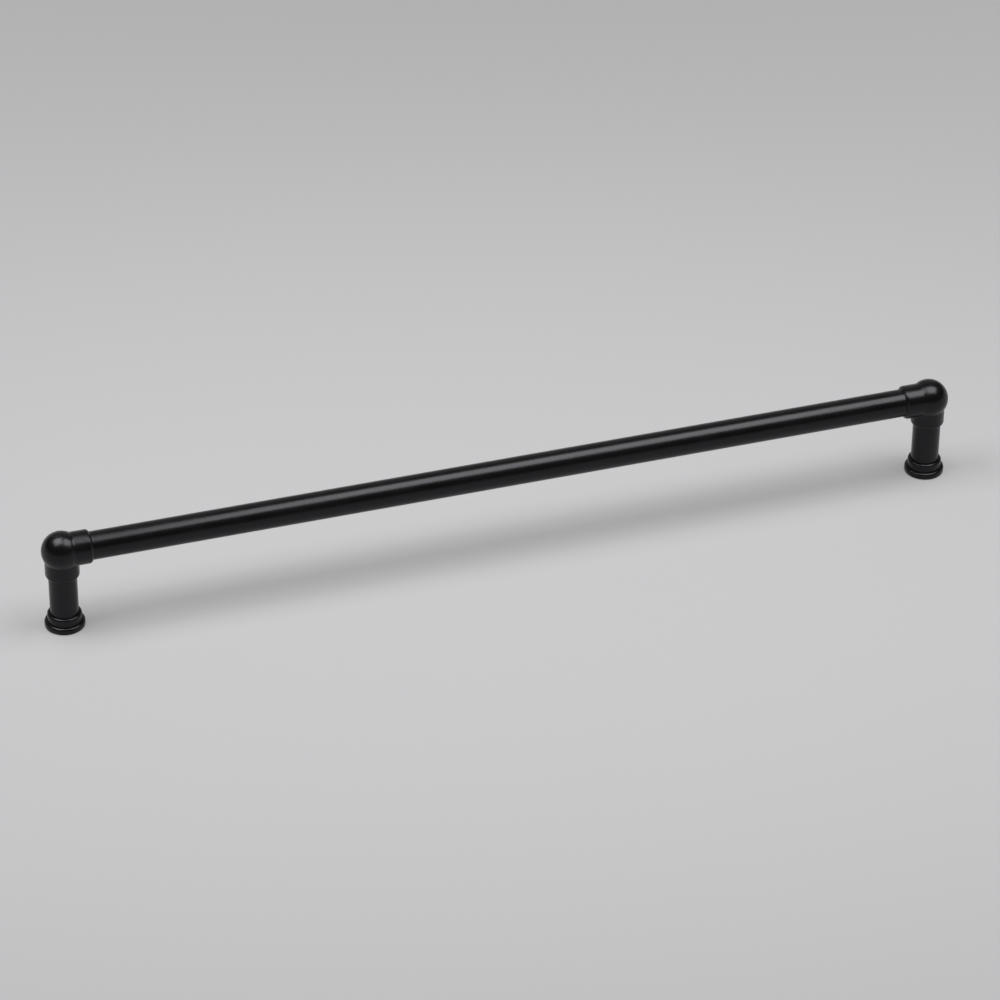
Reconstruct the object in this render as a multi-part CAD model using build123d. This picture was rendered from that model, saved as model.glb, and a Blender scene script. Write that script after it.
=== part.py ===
from build123d import *
import os
from math import radians, tan

# A bar handle in the style of pipework: a straight tube held between two ball elbows,
# which stand on round posts with stepped feet. It is screwed on from behind, through the door.
# X runs along the bar and Z points away from the door, whose face is the plane Z = 0.
# The origin is half way between the two posts. All sizes are in millimetres.

# Placing
hole_spacing = 320.0  # between the two fixing holes, and so between the posts
bar_axis_height = 31.0  # from the door to the centre line of the bar

# Bar
bar_diameter = 10.0
bar_wall = 1.0
bar_end_gap = 0.2  # left free behind each end of the bar, in its socket
bar_end_break = 0.3  # edge taken off both rims of the bar's ends

# Elbows
collar_wall = 1.0  # round the bar and round the post
ball_stand = 1.0  # how far the ball stands out past the collars
socket_web = 1.0  # left between the floors of the two sockets and the far socket's wall
socket_clearance = 0.02  # all round the bar and the post, and round the post in its foot
socket_depth = 4.28  # of both sockets, the bar's and the post's
socket_flare = 0.1  # how far each socket's mouth opens out
socket_flare_depth = 0.3
mouth_lip = 0.05  # flat rim left round each mouth, between its flare and its rounded edge
valley_radius = 0.6  # in the valleys between the ball and its collars

# Posts
post_diameter = 10.0
post_top_break = 0.3

# Feet
ring_wall = 1.03  # upper step, round the post
ring_height = 3.2
ring_lip = 0.03  # flat rim left on top of the upper step, inside its rounded edge
foot_step = 1.05  # how far the lower step stands out past the upper one
foot_height = 2.3
foot_ledge = 0.15  # flat left on top of the lower step, inside its rounded edge
foot_base_break = 0.2
bore_mouth_break = 0.1  # edge taken off the foot's bore, round the post

# Threaded holes and studs
fixing_hole_diameter = 3.3  # tapping size for an M4 screw
fixing_hole_depth = 10.0
hole_mouth_break = 0.4
drill_point_angle = 118.0
stud_diameter = 4.0
stud_length = 13.0
stud_in_post = 7.0
stud_end_break = 0.4
stud_key_size = 2.0  # across the flats of its hexagon socket
stud_key_depth = 1.8
stud_hole_spare = 0.5  # depth of each stud hole past the end of the stud
thread_clearance = 0.02

# Sizes that follow
bar_radius = bar_diameter / 2
post_radius = post_diameter / 2
stud_radius = stud_diameter / 2
fixing_hole_radius = fixing_hole_diameter / 2
bar_socket_radius = bar_radius + socket_clearance
post_socket_radius = post_radius + socket_clearance
bar_collar_radius = bar_socket_radius + collar_wall
post_collar_radius = post_socket_radius + collar_wall
ball_radius = max(bar_collar_radius, post_collar_radius) + ball_stand
bar_socket_floor = post_socket_radius + socket_web
post_socket_floor = bar_socket_radius + socket_web
bar_collar_reach = bar_socket_floor + socket_depth
post_collar_reach = post_socket_floor + socket_depth
mouth_edge_radius = collar_wall - socket_flare - mouth_lip
bar_length = hole_spacing - 2 * (bar_socket_floor + bar_end_gap)
post_length = bar_axis_height - post_socket_floor
ring_radius = post_socket_radius + ring_wall
foot_radius = ring_radius + foot_step
foot_top = foot_height + ring_height
ring_edge_radius = ring_wall - bore_mouth_break - ring_lip
foot_edge_radius = foot_step - foot_ledge
stud_in_elbow = stud_length - stud_in_post
stud_hole_radius = stud_radius + thread_clearance


def turned(*corners):
    """Turn a closed outline round Z. Each corner is (radius, height, rounding)."""
    points = [(radius, height) for radius, height, rounding in corners]
    roundings = [rounding for radius, height, rounding in corners]
    outline = Plane.XZ * FilletPolyline(*points, radius=roundings, close=True)
    return revolve(make_face(outline), Axis.Z)


def drilled_hole(radius, depth):
    """The space that a drill leaves, running up from its broken mouth at the origin to a cone."""
    point = radius / tan(radians(drill_point_angle / 2))
    return turned(
        (0, 0, 0),
        (radius + hole_mouth_break, 0, 0),
        (radius, hole_mouth_break, 0),
        (radius, depth, 0),
        (0, depth + point, 0),
    )


def make_bar():
    """Round tube along X, with the rims of both ends broken."""
    half = bar_length / 2
    bore = bar_radius - bar_wall
    tube = turned(
        (bore, -half, 0),
        (bar_radius - bar_end_break, -half, 0),
        (bar_radius, -half + bar_end_break, 0),
        (bar_radius, half - bar_end_break, 0),
        (bar_radius - bar_end_break, half, 0),
        (bore, half, 0),
    )
    return Rot(Y=90) * tube


def make_collar(radius, reach):
    """Solid collar from the ball's centre up to its mouth, whose edge is rounded over."""
    return turned(
        (0, 0, 0),
        (radius, 0, 0),
        (radius, reach, mouth_edge_radius),
        (0, reach, 0),
    )


def make_socket(radius):
    """The space in a collar, from its floor at the origin up to its flared mouth."""
    return turned(
        (0, 0, 0),
        (radius, 0, 0),
        (radius, socket_depth - socket_flare_depth, 0),
        (radius + socket_flare, socket_depth, 0),
        (0, socket_depth, 0),
    )


def make_elbow():
    """Ball with one collar along X for the bar and one along -Z for the post, about the ball's centre."""
    to_bar = Rot(Y=90)
    to_post = Rot(X=180)
    ball = Sphere(ball_radius)
    bar_collar = to_bar * make_collar(bar_collar_radius, bar_collar_reach)
    post_collar = to_post * make_collar(post_collar_radius, post_collar_reach)
    body = ball + bar_collar + post_collar
    valleys = new_edges(ball, bar_collar, post_collar, combined=body)
    body = fillet(valleys, valley_radius)
    stud_hole = drilled_hole(stud_hole_radius, stud_in_elbow + stud_hole_spare)
    body -= to_bar * Pos(Z=bar_socket_floor) * make_socket(bar_socket_radius)
    body -= to_post * Pos(Z=post_socket_floor) * make_socket(post_socket_radius)
    body -= Pos(Z=-post_socket_floor) * stud_hole
    return body


def make_post():
    """Solid post standing on Z = 0, with the fixing hole in its foot end and the stud's hole in its top."""
    post = turned(
        (0, 0, 0),
        (post_radius, 0, 0),
        (post_radius, post_length - post_top_break, 0),
        (post_radius - post_top_break, post_length, 0),
        (0, post_length, 0),
    )
    fixing_hole = drilled_hole(fixing_hole_radius, fixing_hole_depth)
    stud_hole = drilled_hole(stud_hole_radius, stud_in_post + stud_hole_spare)
    post -= fixing_hole
    post -= Pos(Z=post_length) * Rot(X=180) * stud_hole
    return post


def make_foot():
    """Stepped ring round the bottom of the post, with both steps rounded over."""
    return turned(
        (post_socket_radius, 0, 0),
        (foot_radius - foot_base_break, 0, 0),
        (foot_radius, foot_base_break, 0),
        (foot_radius, foot_height, foot_edge_radius),
        (ring_radius, foot_height, 0),
        (ring_radius, foot_top, ring_edge_radius),
        (post_socket_radius + bore_mouth_break, foot_top, 0),
        (post_socket_radius, foot_top - bore_mouth_break, 0),
    )


def make_stud():
    """Headless stud standing on Z = 0, with a hexagon socket in its lower end."""
    stud = turned(
        (0, 0, 0),
        (stud_radius - stud_end_break, 0, 0),
        (stud_radius, stud_end_break, 0),
        (stud_radius, stud_length - stud_end_break, 0),
        (stud_radius - stud_end_break, stud_length, 0),
        (0, stud_length, 0),
    )
    key = RegularPolygon(stud_key_size / 2, side_count=6, major_radius=False)
    return stud - extrude(key, stud_key_depth)


elbow = make_elbow()
post = make_post()
foot = make_foot()
stud = make_stud()

left_end = Pos(X=-hole_spacing / 2)
right_end = Pos(X=hole_spacing / 2) * Rot(Z=180)
at_bar = Pos(Z=bar_axis_height)
in_post = Pos(Z=post_length - stud_in_post)

nodes = {
    "bar": at_bar * make_bar(),
    "elbow_left": left_end * at_bar * elbow,
    "elbow_right": right_end * at_bar * elbow,
    "post_left": left_end * post,
    "post_right": right_end * post,
    "foot_left": left_end * foot,
    "foot_right": right_end * foot,
    "joining_studs": Compound([left_end * in_post * stud, right_end * in_post * stud]),
}

os.makedirs("parts", exist_ok=True)
for name, shape in nodes.items():
    export_step(shape, f"parts/{name}.step")
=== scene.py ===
# Pipe handle: a straight tube between two ball elbows, on round posts with stepped feet.
# Each piece is modelled on its own axis, in metres, and then set in its place in the CAD frame.

import math

import bmesh
import bpy
from mathutils import Matrix, Vector


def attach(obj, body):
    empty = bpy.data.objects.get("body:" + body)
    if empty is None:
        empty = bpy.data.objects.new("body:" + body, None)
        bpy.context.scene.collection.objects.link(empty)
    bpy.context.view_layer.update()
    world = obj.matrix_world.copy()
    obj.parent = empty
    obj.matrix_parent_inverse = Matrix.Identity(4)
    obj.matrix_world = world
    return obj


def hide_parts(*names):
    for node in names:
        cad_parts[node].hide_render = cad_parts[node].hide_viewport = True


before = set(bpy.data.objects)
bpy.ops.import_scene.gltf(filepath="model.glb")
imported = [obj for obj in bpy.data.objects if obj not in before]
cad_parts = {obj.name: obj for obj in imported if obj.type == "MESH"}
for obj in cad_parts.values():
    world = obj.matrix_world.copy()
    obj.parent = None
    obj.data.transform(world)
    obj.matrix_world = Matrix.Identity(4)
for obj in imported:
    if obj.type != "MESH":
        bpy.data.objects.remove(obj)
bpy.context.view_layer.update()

MM = 0.001

# Where the pieces stand
HOLE_SPACING = 320.0 * MM
BAR_HEIGHT = 31.0 * MM  # of the bar's centre line

# Bar
BAR_RADIUS = 5.0 * MM
BAR_BORE = 4.0 * MM
BAR_HALF = 153.78 * MM
BAR_END_BREAK = 0.3 * MM

# Elbows, measured from the ball's centre
BALL_RADIUS = 7.02 * MM
COLLAR_RADIUS = 6.02 * MM
SOCKET_RADIUS = 5.02 * MM
SOCKET_FLOOR = 6.02 * MM
COLLAR_MOUTH = 10.3 * MM
RIM_FALL = 0.7 * MM  # how far each collar slopes in at its mouth
RIM_SLOPE = 0.86 * MM  # how far along the collar that slope runs
RIM_ROUND = 0.22 * MM
FLARE = 0.1 * MM
FLARE_DEPTH = 0.3 * MM
VALLEY_HEIGHT = math.sqrt(BALL_RADIUS**2 - COLLAR_RADIUS**2)
VALLEY_ROUND = 1.3 * MM
VALLEY_ROOM = 0.4 * MM  # left plain along the collar for that rounding
CREASE_END = 7.1 * MM  # along a collar, to where the crease between the two has faded out
CREASE_RINGS = 13
CREASE_REACH = 0.7 * MM  # either side of the mitre
CREASE_PULL = 0.5  # how far each smoothing moves a point, as a share of the way to its neighbours
CREASE_SMOOTHINGS = 10

# Posts
POST_RADIUS = 5.0 * MM
POST_LENGTH = 24.98 * MM
POST_TOP_BREAK = 0.3 * MM
STUD_HOLE_RADIUS = 2.02 * MM
STUD_HOLE_IN_POST = 7.5 * MM
STUD_HOLE_IN_ELBOW = 6.5 * MM
FIXING_HOLE_RADIUS = 1.65 * MM
FIXING_HOLE_DEPTH = 10.0 * MM
HOLE_MOUTH_BREAK = 0.4 * MM
DRILL_POINT = 0.6  # height of a drill's point as a share of its radius
THREAD_RADIUS = 2.0 * MM
THREAD_PITCH = 0.7 * MM
THREAD_FLAT = 0.09 * MM
THREAD_TURNS = 13

# Feet
FOOT_RADIUS = 7.1 * MM
FOOT_HEIGHT = 2.3 * MM
RING_RADIUS = 6.05 * MM
FOOT_TOP = 5.5 * MM
FOOT_ROUND = 0.9 * MM
BASE_BREAK = 0.2 * MM
BORE_BREAK = 0.1 * MM

# Fineness of the round pieces
SIDES = 96
BALL_RINGS = 40
ROUND_STEPS = 8
THREAD_STEPS = SIDES // 2  # in each turn
TOUCH = 0.02 * MM  # nearer than this, a point counts as being on a ring or a plane
MERGE = 0.001 * MM
SHARP_ANGLE = math.radians(30)
LONG_FACE_WEIGHT = 90

# The photograph's camera, as a turn round the handle
VIEW_AZIMUTH = math.radians(-18.107)
VIEW_ELEVATION = math.radians(35.143)
VIEW_ROLL = math.radians(0.594)
VIEW_DISTANCE = 1705.3 * MM
VIEW_CENTRE = Vector((-1.49, 1.10, 18.82)) * MM
LENS = 173.92
SENSOR = 36.0
CLIP_NEAR = 0.05
CLIP_FAR = 50

# Finishes: the sizes of their grain and patches, the patches' colours and roughness,
# and the strength of the grain's relief
BLACK_COAT = {
    "grain": 0.25 * MM, "patch": 9 * MM,
    "dark": (0.0025, 0.0025, 0.0026, 1), "pale": (0.0043, 0.0043, 0.0045, 1),
    "smoothest": 0.23, "roughest": 0.27, "bump": 0.3,
}
CUT_METAL = {
    "grain": 0.08 * MM, "patch": 1.2 * MM,
    "dark": (0.22, 0.21, 0.20, 1), "pale": (0.42, 0.41, 0.39, 1),
    "smoothest": 0.3, "roughest": 0.5, "bump": 0.25,
}
STUD_STEEL = {
    "grain": 0.06 * MM, "patch": 2 * MM,
    "dark": (0.40, 0.40, 0.39, 1), "pale": (0.56, 0.56, 0.55, 1),
    "smoothest": 0.28, "roughest": 0.42, "bump": 0.2,
}
COAT_GLOSS = 0.29
COAT_SHEEN = (0.94, 0.93, 1, 1)
GRAIN_DEPTH = 0.1  # of the grain's relief, as a share of the grain's size
GRAIN_DETAIL = 2.0
PATCH_DETAIL = 4.0
NOISE_ROUGHNESS = 0.55
NOISE_LOW = 0.3  # noise from here down becomes 0
NOISE_HIGH = 0.7  # and from here up becomes 1

# Floor and studio
FLOOR_SIZE = 24.0
FLOOR_DROP = 0.01 * MM  # keeps the floor just clear of the feet
FLOOR_COLOUR = (0.262, 0.261, 0.266, 1)
FLOOR_ROUGHNESS = 0.9
FLOOR_GLOSS = 0.1
FLOOR_GLOW = (0.182, 0.181, 0.184, 1)  # fills the shadows on the floor
LAMPLIT_REACH = 0.25  # how far out the lamps light the floor well
FAR_REACH = 1.25  # how far out they light it no more
PALE_STUDIO = (0.5, 0.5, 0.505, 1)
DIM_STUDIO = (0.03, 0.03, 0.03, 1)
PALE_TO = 0.105  # sine of the angle above the horizon up to which the studio is pale
DIM_FROM = 0.115  # and of the angle from which it is dim

# Lamps
LEFT_SOFTBOX = {
    "spot": (-0.31, 0.06, 0.6), "width": 0.42, "depth": 0.4,
    "turn": 0, "power": 4.2,
}
RIGHT_SOFTBOX = {
    "spot": (0.26, -0.095, 0.6), "width": 0.56, "depth": 0.41,
    "turn": math.radians(-9), "power": 4.6,
}
BACK_PANEL = {
    "spot": (0.4, 2.0, 1.2), "width": 3.0, "depth": 2.4,
    "turn": 0, "power": 6.0,
}


# Modelling

def open_for_editing(piece, name):
    """Names a new primitive, keeps its place in its mesh and opens it, all selected."""
    piece.name = piece.data.name = name
    bpy.ops.object.transform_apply()
    bpy.ops.object.mode_set(mode="EDIT")
    bpy.ops.mesh.select_mode(type="EDGE")
    bpy.ops.mesh.select_all(action="SELECT")
    return piece


def start_ring(name, radius, height):
    """Starts a turned piece as one ring that lies round Z."""
    bpy.ops.object.select_all(action="DESELECT")
    bpy.ops.mesh.primitive_circle_add(vertices=SIDES, radius=radius, location=(0, 0, height))
    return open_for_editing(bpy.context.object, name)


def draw_out(*rings):
    """Draws the selected ring, the first (radius, height), out through the rest of an outline."""
    for (radius, height), (next_radius, next_height) in zip(rings, rings[1:]):
        rise = (0, 0, next_height - height)
        bpy.ops.mesh.extrude_edges_move(TRANSFORM_OT_translate={"value": rise})
        grow = next_radius / radius
        bpy.ops.transform.resize(value=(grow, grow, 1), center_override=(0, 0, next_height))


def close_to_point(rise):
    """Ends the selected ring in a cone, or in a flat where it doesn't rise."""
    bpy.ops.mesh.extrude_edges_move(TRANSFORM_OT_translate={"value": (0, 0, rise)})
    bpy.ops.mesh.merge(type="CENTER")


def select_where(piece, kind, wanted):
    """Selects the points, edges or faces that a test picks out by their place."""
    bpy.ops.mesh.select_mode(type=kind)
    bpy.ops.mesh.select_all(action="DESELECT")
    mesh = bmesh.from_edit_mesh(piece.data)
    for element in {"VERT": mesh.verts, "EDGE": mesh.edges, "FACE": mesh.faces}[kind]:
        if wanted(element):
            element.select_set(True)
    bmesh.update_edit_mesh(piece.data)


def select_ring(piece, radius, height):
    """Selects one ring round Z."""
    select_where(piece, "EDGE", lambda edge: all(
        abs(corner.co.xy.length - radius) < TOUCH and abs(corner.co.z - height) < TOUCH
        for corner in edge.verts
    ))


def round_ring(piece, radius, height, size):
    """Rounds the edge of one ring over."""
    select_ring(piece, radius, height)
    bpy.ops.mesh.bevel(offset=size, segments=ROUND_STEPS, affect="EDGES")


def close_rims(piece):
    """Joins the two open rims of a tube."""
    select_where(piece, "EDGE", lambda edge: edge.is_boundary)
    bpy.ops.mesh.bridge_edge_loops()


def merge_points():
    """Merges the points that touch and points the faces outwards."""
    bpy.ops.mesh.select_all(action="SELECT")
    bpy.ops.mesh.remove_doubles(threshold=MERGE)
    bpy.ops.mesh.normals_make_consistent(inside=False)


def close_mesh():
    """Merges the mesh and leaves edit mode."""
    merge_points()
    bpy.ops.object.mode_set(mode="OBJECT")


def pick(piece):
    """Selects one piece alone and makes it the active one."""
    bpy.ops.object.select_all(action="DESELECT")
    piece.select_set(True)
    bpy.context.view_layer.objects.active = piece


def place(piece, move=(0, 0, 0), turn=(0, 0, 0)):
    """Turns a piece, moves it and keeps both in its mesh."""
    pick(piece)
    piece.rotation_euler = turn
    piece.location = move
    bpy.ops.object.transform_apply()


def smooth(piece):
    """Smooth shading that stays crisp at the edges and true on the long faces."""
    pick(piece)
    bpy.ops.object.shade_smooth_by_angle(angle=SHARP_ANGLE)
    weighted = piece.modifiers.new("true_faces", "WEIGHTED_NORMAL")
    weighted.weight = LONG_FACE_WEIGHT
    weighted.keep_sharp = True
    bpy.ops.object.modifier_apply(modifier=weighted.name)


def copy_to(piece, name, move, turn):
    """A copy with its own mesh, turned and moved to its place."""
    pick(piece)
    bpy.ops.object.duplicate()
    copy = bpy.context.object
    copy.name = copy.data.name = name
    place(copy, move, turn)
    return copy


def make_bar():
    """Round tube along X, with the rims of its ends broken."""
    first = (BAR_RADIUS - BAR_END_BREAK, -BAR_HALF)
    bar = start_ring("handle_bar", *first)
    draw_out(
        first,
        (BAR_RADIUS, -BAR_HALF + BAR_END_BREAK),
        (BAR_RADIUS, BAR_HALF - BAR_END_BREAK),
        (BAR_RADIUS - BAR_END_BREAK, BAR_HALF),
        (BAR_BORE, BAR_HALF),
        (BAR_BORE, -BAR_HALF),
    )
    close_rims(bar)
    close_mesh()
    place(bar, turn=(0, math.pi / 2, 0))
    place(bar, move=(0, 0, BAR_HEIGHT))
    return bar


def make_arm(name):
    """The ball with one collar up along Z, sloped in at its mouth and bored for its socket."""
    bpy.ops.object.select_all(action="DESELECT")
    bpy.ops.mesh.primitive_uv_sphere_add(
        segments=SIDES, ring_count=BALL_RINGS, radius=BALL_RADIUS
    )
    arm = open_for_editing(bpy.context.object, name)
    bpy.ops.mesh.bisect(
        plane_co=(0, 0, VALLEY_HEIGHT), plane_no=(0, 0, 1), threshold=MERGE, clear_outer=True
    )
    select_ring(arm, COLLAR_RADIUS, VALLEY_HEIGHT)
    first = VALLEY_HEIGHT + VALLEY_ROOM
    step = (CREASE_END - first) / CREASE_RINGS
    draw_out(
        (COLLAR_RADIUS, VALLEY_HEIGHT),
        *((COLLAR_RADIUS, first + ring * step) for ring in range(CREASE_RINGS + 1)),
        (COLLAR_RADIUS, COLLAR_MOUTH - RIM_SLOPE),
        (COLLAR_RADIUS - RIM_FALL, COLLAR_MOUTH),
        (SOCKET_RADIUS + FLARE, COLLAR_MOUTH),
        (SOCKET_RADIUS, COLLAR_MOUTH - FLARE_DEPTH),
        (SOCKET_RADIUS, SOCKET_FLOOR),
        (STUD_HOLE_RADIUS, SOCKET_FLOOR),
    )
    bpy.ops.mesh.edge_face_add()
    round_ring(arm, COLLAR_RADIUS, COLLAR_MOUTH - RIM_SLOPE, RIM_ROUND)
    round_ring(arm, COLLAR_RADIUS - RIM_FALL, COLLAR_MOUTH, RIM_ROUND)
    bend = math.acos(COLLAR_RADIUS / BALL_RADIUS)
    round_ring(arm, COLLAR_RADIUS, VALLEY_HEIGHT, VALLEY_ROUND * math.tan(bend / 2))
    bpy.ops.object.mode_set(mode="OBJECT")
    return arm


def cut_mitre(arm, **side):
    """Cuts an arm on the plane that halves the corner between the bar and the post."""
    pick(arm)
    bpy.ops.object.mode_set(mode="EDIT")
    bpy.ops.mesh.select_all(action="SELECT")
    bpy.ops.mesh.bisect(plane_co=(0, 0, 0), plane_no=(1, 0, 1), threshold=MERGE, **side)
    bpy.ops.object.mode_set(mode="OBJECT")


def in_crease(corner):
    """Whether a point of an elbow is by the mitre, in the inner corner."""
    off_mitre = abs(corner.co.x + corner.co.z) / math.sqrt(2)
    along_mitre = (corner.co.x - corner.co.z) / 2
    return off_mitre < CREASE_REACH and along_mitre > VALLEY_HEIGHT


def in_stud_hole_mouth(face):
    """Whether a face of an elbow is the middle of the floor of the post's socket."""
    on_floor = all(abs(corner.co.z + SOCKET_FLOOR) < TOUCH for corner in face.verts)
    return on_floor and face.calc_center_median().xy.length < TOUCH


def make_elbow():
    """Ball elbow of two mitred arms, one along X for the bar and one down for the post."""
    bar_arm = make_arm("bar_arm")
    place(bar_arm, turn=(0, math.pi / 2, 0))
    cut_mitre(bar_arm, clear_inner=True)
    post_arm = make_arm("post_arm")
    place(post_arm, turn=(math.pi, 0, 0))
    cut_mitre(post_arm, clear_outer=True)
    bar_arm.select_set(True)
    bpy.ops.object.join()
    elbow = bpy.context.object
    bpy.ops.object.mode_set(mode="EDIT")
    merge_points()
    select_where(elbow, "VERT", in_crease)
    bpy.ops.mesh.vertices_smooth(factor=CREASE_PULL, repeat=CREASE_SMOOTHINGS)
    select_where(elbow, "FACE", in_stud_hole_mouth)
    sink = (0, 0, STUD_HOLE_IN_ELBOW)
    bpy.ops.mesh.extrude_region_move(TRANSFORM_OT_translate={"value": sink})
    close_mesh()
    return elbow


def make_tap():
    """The thread that a tap cuts: its outline, swept up round Z and closed at both ends."""
    flank = (THREAD_PITCH - THREAD_FLAT) / 2
    core_radius = THREAD_RADIUS - flank * math.sqrt(3)
    depth = THREAD_RADIUS - core_radius
    # The outline grows from the one corner of a square that is on +Y.
    bpy.ops.object.select_all(action="DESELECT")
    bpy.ops.mesh.primitive_circle_add(
        vertices=4, radius=core_radius, location=(0, 0, -THREAD_PITCH)
    )
    tap = open_for_editing(bpy.context.object, "tap")
    select_where(tap, "VERT", lambda corner: corner.co.y < core_radius - TOUCH)
    bpy.ops.mesh.delete(type="VERT")
    bpy.ops.mesh.select_all(action="SELECT")
    for step in ((0, depth, flank), (0, 0, THREAD_FLAT), (0, -depth, flank)):
        bpy.ops.mesh.extrude_vertices_move(TRANSFORM_OT_translate={"value": step})
    bpy.ops.object.mode_set(mode="OBJECT")
    sweep = tap.modifiers.new("thread", "SCREW")
    sweep.axis = "Z"
    sweep.angle = 2 * math.pi
    sweep.screw_offset = THREAD_PITCH
    sweep.iterations = THREAD_TURNS
    sweep.steps = sweep.render_steps = THREAD_STEPS
    bpy.ops.object.modifier_apply(modifier=sweep.name)
    bpy.ops.object.mode_set(mode="EDIT")
    bpy.ops.mesh.select_all(action="SELECT")
    bpy.ops.mesh.remove_doubles(threshold=MERGE)
    middle = THREAD_PITCH * THREAD_TURNS / 2
    select_where(tap, "EDGE", lambda edge: edge.is_boundary and edge.verts[0].co.z < middle)
    close_to_point(0)
    select_where(tap, "EDGE", lambda edge: edge.is_boundary and edge.verts[0].co.z > middle)
    close_to_point(0)
    close_mesh()
    return tap


def cut_thread(post):
    """Taps the post's fixing hole."""
    tap = make_tap()
    pick(post)
    tapped = post.modifiers.new("tapped", "BOOLEAN")
    tapped.operation = "DIFFERENCE"
    tapped.solver = "EXACT"
    tapped.object = tap
    bpy.ops.object.modifier_apply(modifier=tapped.name)
    bpy.data.objects.remove(tap)
    bpy.ops.object.mode_set(mode="EDIT")
    close_mesh()


def make_post():
    """Post standing on Z = 0, drilled and tapped at its foot and drilled at its top."""
    base = (POST_RADIUS, 0)
    post = start_ring("post", *base)
    draw_out(
        base,
        (POST_RADIUS, POST_LENGTH - POST_TOP_BREAK),
        (POST_RADIUS - POST_TOP_BREAK, POST_LENGTH),
        (STUD_HOLE_RADIUS + HOLE_MOUTH_BREAK, POST_LENGTH),
        (STUD_HOLE_RADIUS, POST_LENGTH - HOLE_MOUTH_BREAK),
        (STUD_HOLE_RADIUS, POST_LENGTH - STUD_HOLE_IN_POST),
    )
    close_to_point(-STUD_HOLE_RADIUS * DRILL_POINT)
    select_ring(post, *base)
    draw_out(
        base,
        (FIXING_HOLE_RADIUS + HOLE_MOUTH_BREAK, 0),
        (FIXING_HOLE_RADIUS, HOLE_MOUTH_BREAK),
        (FIXING_HOLE_RADIUS, FIXING_HOLE_DEPTH),
    )
    close_to_point(FIXING_HOLE_RADIUS * DRILL_POINT)
    close_mesh()
    cut_thread(post)
    return post


def make_foot():
    """Stepped ring round the post, with both steps rounded over."""
    first = (FOOT_RADIUS, BASE_BREAK)
    foot = start_ring("foot", *first)
    draw_out(
        first,
        (FOOT_RADIUS, FOOT_HEIGHT),
        (RING_RADIUS, FOOT_HEIGHT),
        (RING_RADIUS, FOOT_TOP),
        (SOCKET_RADIUS + BORE_BREAK, FOOT_TOP),
        (SOCKET_RADIUS, FOOT_TOP - BORE_BREAK),
        (SOCKET_RADIUS, 0),
        (FOOT_RADIUS - BASE_BREAK, 0),
    )
    close_rims(foot)
    round_ring(foot, FOOT_RADIUS, FOOT_HEIGHT, FOOT_ROUND)
    round_ring(foot, RING_RADIUS, FOOT_TOP, FOOT_ROUND)
    close_mesh()
    return foot


# Finishes

def add_node(tree, kind, **sockets):
    """A shader node with its named inputs set, or linked where a socket is given."""
    node = tree.nodes.new(kind)
    for name, value in sockets.items():
        socket = node.inputs[name.replace("_", " ")]
        if isinstance(value, bpy.types.NodeSocket):
            tree.links.new(value, socket)
        else:
            socket.default_value = value
    return node


def new_material(name):
    """A material with its Principled shader, ready for nodes."""
    material = bpy.data.materials.new(name)
    material.use_nodes = True
    return material, material.node_tree, material.node_tree.nodes["Principled BSDF"]


def add_ramp(tree, value, low, low_colour, high, high_colour):
    """A colour that runs from one to another as a value rises from low to high."""
    node = add_node(tree, "ShaderNodeValToRGB", Fac=value)
    first, last = node.color_ramp.elements
    first.position, first.color = low, low_colour
    last.position, last.color = high, high_colour
    return node.outputs["Color"]


def make_fine_finish():
    """Shared effect: a fine grain and broad faint patches, each from 0 to 1 and of a given size."""
    group = bpy.data.node_groups.new("fine_finish", "ShaderNodeTree")
    outside = group.nodes.new("NodeGroupInput")
    result = group.nodes.new("NodeGroupOutput")
    place_on_piece = group.nodes.new("ShaderNodeTexCoord").outputs["Object"]
    for pattern, detail in (("Grain", GRAIN_DETAIL), ("Patch", PATCH_DETAIL)):
        size = f"{pattern} Size"
        group.interface.new_socket(size, in_out="INPUT", socket_type="NodeSocketFloat")
        group.interface.new_socket(pattern, in_out="OUTPUT", socket_type="NodeSocketFloat")
        scale = group.nodes.new("ShaderNodeMath")
        scale.operation = "DIVIDE"
        scale.inputs[0].default_value = 1
        group.links.new(outside.outputs[size], scale.inputs[1])
        noise = add_node(
            group, "ShaderNodeTexNoise",
            Vector=place_on_piece, Scale=scale.outputs[0], Detail=detail, Roughness=NOISE_ROUGHNESS,
        )
        spread = add_node(
            group, "ShaderNodeMapRange",
            Value=noise.outputs["Fac"], From_Min=NOISE_LOW, From_Max=NOISE_HIGH,
        )
        group.links.new(spread.outputs["Result"], result.inputs[pattern])
    return group


def make_finish(name, effect, grain, patch, dark, pale, smoothest, roughest, bump):
    """A material whose colour and sheen vary in patches over a fine grain, and its shader."""
    material, tree, shader = new_material(name)
    finish = tree.nodes.new("ShaderNodeGroup")
    finish.node_tree = effect
    finish.inputs["Grain Size"].default_value = grain
    finish.inputs["Patch Size"].default_value = patch
    colour = add_ramp(tree, finish.outputs["Patch"], 0, dark, 1, pale)
    tree.links.new(colour, shader.inputs["Base Color"])
    sheen = add_node(
        tree, "ShaderNodeMapRange",
        Value=finish.outputs["Patch"], To_Min=smoothest, To_Max=roughest,
    )
    tree.links.new(sheen.outputs["Result"], shader.inputs["Roughness"])
    relief = add_node(
        tree, "ShaderNodeBump",
        Height=finish.outputs["Grain"], Strength=bump, Distance=grain * GRAIN_DEPTH,
    )
    tree.links.new(relief.outputs["Normal"], shader.inputs["Normal"])
    return material, shader


def make_coat(name, effect, look):
    """Sprayed matt coat: nearly even, with a soft sheen and a very fine grain."""
    material, shader = make_finish(name, effect, **look)
    shader.inputs["Specular IOR Level"].default_value = COAT_GLOSS
    shader.inputs["Specular Tint"].default_value = COAT_SHEEN
    return material


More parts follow.
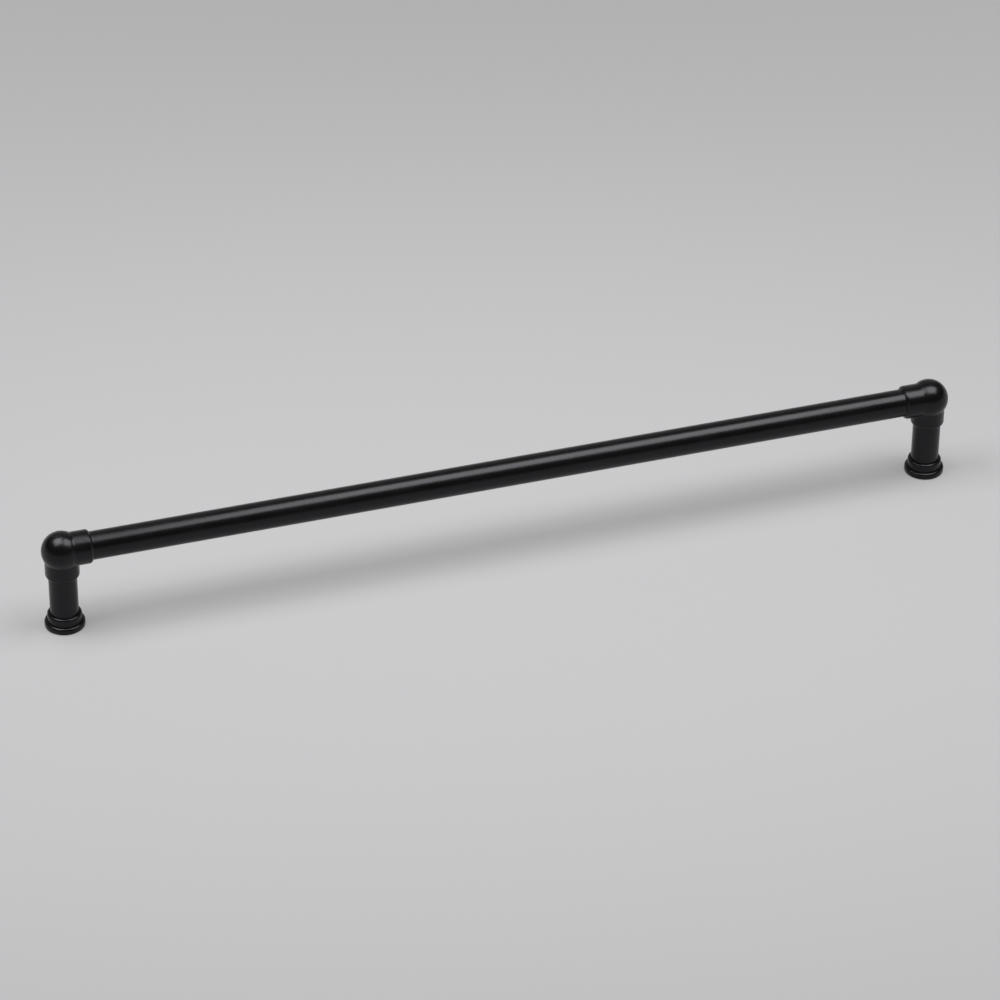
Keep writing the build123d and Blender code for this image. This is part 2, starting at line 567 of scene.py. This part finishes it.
def make_metal(name, effect, look):
    """Bare or plated metal."""
    material, shader = make_finish(name, effect, **look)
    shader.inputs["Metallic"].default_value = 1
    return material


def show_cut_metal(post):
    """Puts the second finish on the faces of the fixing hole, which is cut after coating."""
    for face in post.data.polygons:
        in_hole = face.center.xy.length < FIXING_HOLE_RADIUS + HOLE_MOUTH_BREAK
        if in_hole and TOUCH < face.center.z < FIXING_HOLE_DEPTH + FIXING_HOLE_RADIUS:
            face.material_index = 1


def dress(piece, node, *materials):
    """Gives a piece its finishes, and lets it stand for its CAD node."""
    for material in materials:
        piece.data.materials.append(material)
    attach(piece, "root")
    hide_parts(node)


def set_up_pair(model, kind, lift, *materials):
    """Finishes a piece made on a post's axis, and sets it and its copy in place at the two ends."""
    smooth(model)
    reach = Vector((HOLE_SPACING / 2, 0, 0))
    rise = Vector((0, 0, lift))
    right = copy_to(model, f"{kind}_at_right", rise + reach, (0, 0, math.pi))
    place(model, rise - reach)
    model.name = model.data.name = f"{kind}_at_left"
    dress(model, f"{kind}_left", *materials)
    dress(right, f"{kind}_right", *materials)


# Studio

def make_camera():
    """The camera at the photograph's viewing angle."""
    turn = (
        Matrix.Rotation(VIEW_AZIMUTH, 4, "Z")
        @ Matrix.Rotation(math.pi / 2 - VIEW_ELEVATION, 4, "X")
        @ Matrix.Rotation(VIEW_ROLL, 4, "Z")
    )
    back = turn.to_3x3() @ Vector((0, 0, 1))
    spot = VIEW_CENTRE + back * VIEW_DISTANCE
    bpy.ops.object.camera_add(location=spot, rotation=turn.to_euler())
    camera = bpy.context.object
    camera.data.lens = LENS
    camera.data.sensor_width = SENSOR
    camera.data.clip_start = CLIP_NEAR
    camera.data.clip_end = CLIP_FAR
    bpy.context.scene.camera = camera


def make_floor():
    """Pale floor that stays as pale far out, where the lamps don't reach."""
    bpy.ops.object.select_all(action="DESELECT")
    bpy.ops.mesh.primitive_plane_add(size=FLOOR_SIZE)
    floor = bpy.context.object
    floor.name = "floor"
    floor.location.z = -FLOOR_DROP
    bpy.ops.object.transform_apply()
    material, tree, shader = new_material("pale_floor")
    shader.inputs["Base Color"].default_value = FLOOR_COLOUR
    shader.inputs["Roughness"].default_value = FLOOR_ROUGHNESS
    shader.inputs["Specular IOR Level"].default_value = FLOOR_GLOSS
    spot = tree.nodes.new("ShaderNodeTexCoord").outputs["Object"]
    away = tree.nodes.new("ShaderNodeVectorMath")
    away.operation = "LENGTH"
    tree.links.new(spot, away.inputs[0])
    fade = add_node(
        tree, "ShaderNodeMapRange",
        Value=away.outputs["Value"], From_Min=LAMPLIT_REACH, From_Max=FAR_REACH,
    )
    fade.interpolation_type = "SMOOTHSTEP"
    glow = add_ramp(tree, fade.outputs["Result"], 0, FLOOR_GLOW, 1, PALE_STUDIO)
    tree.links.new(glow, shader.inputs["Emission Color"])
    shader.inputs["Emission Strength"].default_value = 1
    floor.data.materials.append(material)


def add_panel(name, spot, width, depth, turn, power):
    """A soft rectangular lamp that hangs at a place, turned about its own axis, and faces down."""
    bpy.ops.object.light_add(type="AREA", location=spot, rotation=(0, 0, turn))
    lamp = bpy.context.object
    lamp.name = name
    lamp.data.shape = "RECTANGLE"
    lamp.data.size = width
    lamp.data.size_y = depth
    lamp.data.energy = power
    lamp.visible_camera = False
    return lamp


def make_light():
    """Two softboxes over the handle and a broad soft lamp far behind it, turned upright."""
    add_panel("softbox_left", **LEFT_SOFTBOX)
    add_panel("softbox_right", **RIGHT_SOFTBOX)
    back_panel = add_panel("back_panel", **BACK_PANEL)
    back_panel.rotation_euler.x = -math.pi / 2


def make_studio():
    """Dim studio above a pale horizon."""
    studio = bpy.data.worlds.new("studio")
    studio.use_nodes = True
    tree = studio.node_tree
    direction = tree.nodes.new("ShaderNodeTexCoord").outputs["Generated"]
    upward = add_node(tree, "ShaderNodeSeparateXYZ", Vector=direction).outputs["Z"]
    colour = add_ramp(tree, upward, PALE_TO, PALE_STUDIO, DIM_FROM, DIM_STUDIO)
    tree.links.new(colour, tree.nodes["Background"].inputs["Color"])
    bpy.context.scene.world = studio


fine_finish = make_fine_finish()
black_coat = make_coat("sprayed_black_coat", fine_finish, BLACK_COAT)
cut_metal = make_metal("cut_metal", fine_finish, CUT_METAL)
stud_steel = make_metal("plated_stud_steel", fine_finish, STUD_STEEL)

bar = make_bar()
smooth(bar)
dress(bar, "bar", black_coat)
set_up_pair(make_elbow(), "elbow", BAR_HEIGHT, black_coat)
post = make_post()
show_cut_metal(post)
set_up_pair(post, "post", 0, black_coat, cut_metal)
set_up_pair(make_foot(), "foot", 0, black_coat)
# The studs are hidden, so they keep their CAD shape.
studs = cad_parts["joining_studs"]
studs.data.materials.clear()
studs.data.materials.append(stud_steel)

make_camera()
make_floor()
make_light()
make_studio()
bpy.context.scene.view_settings.view_transform = "Standard"
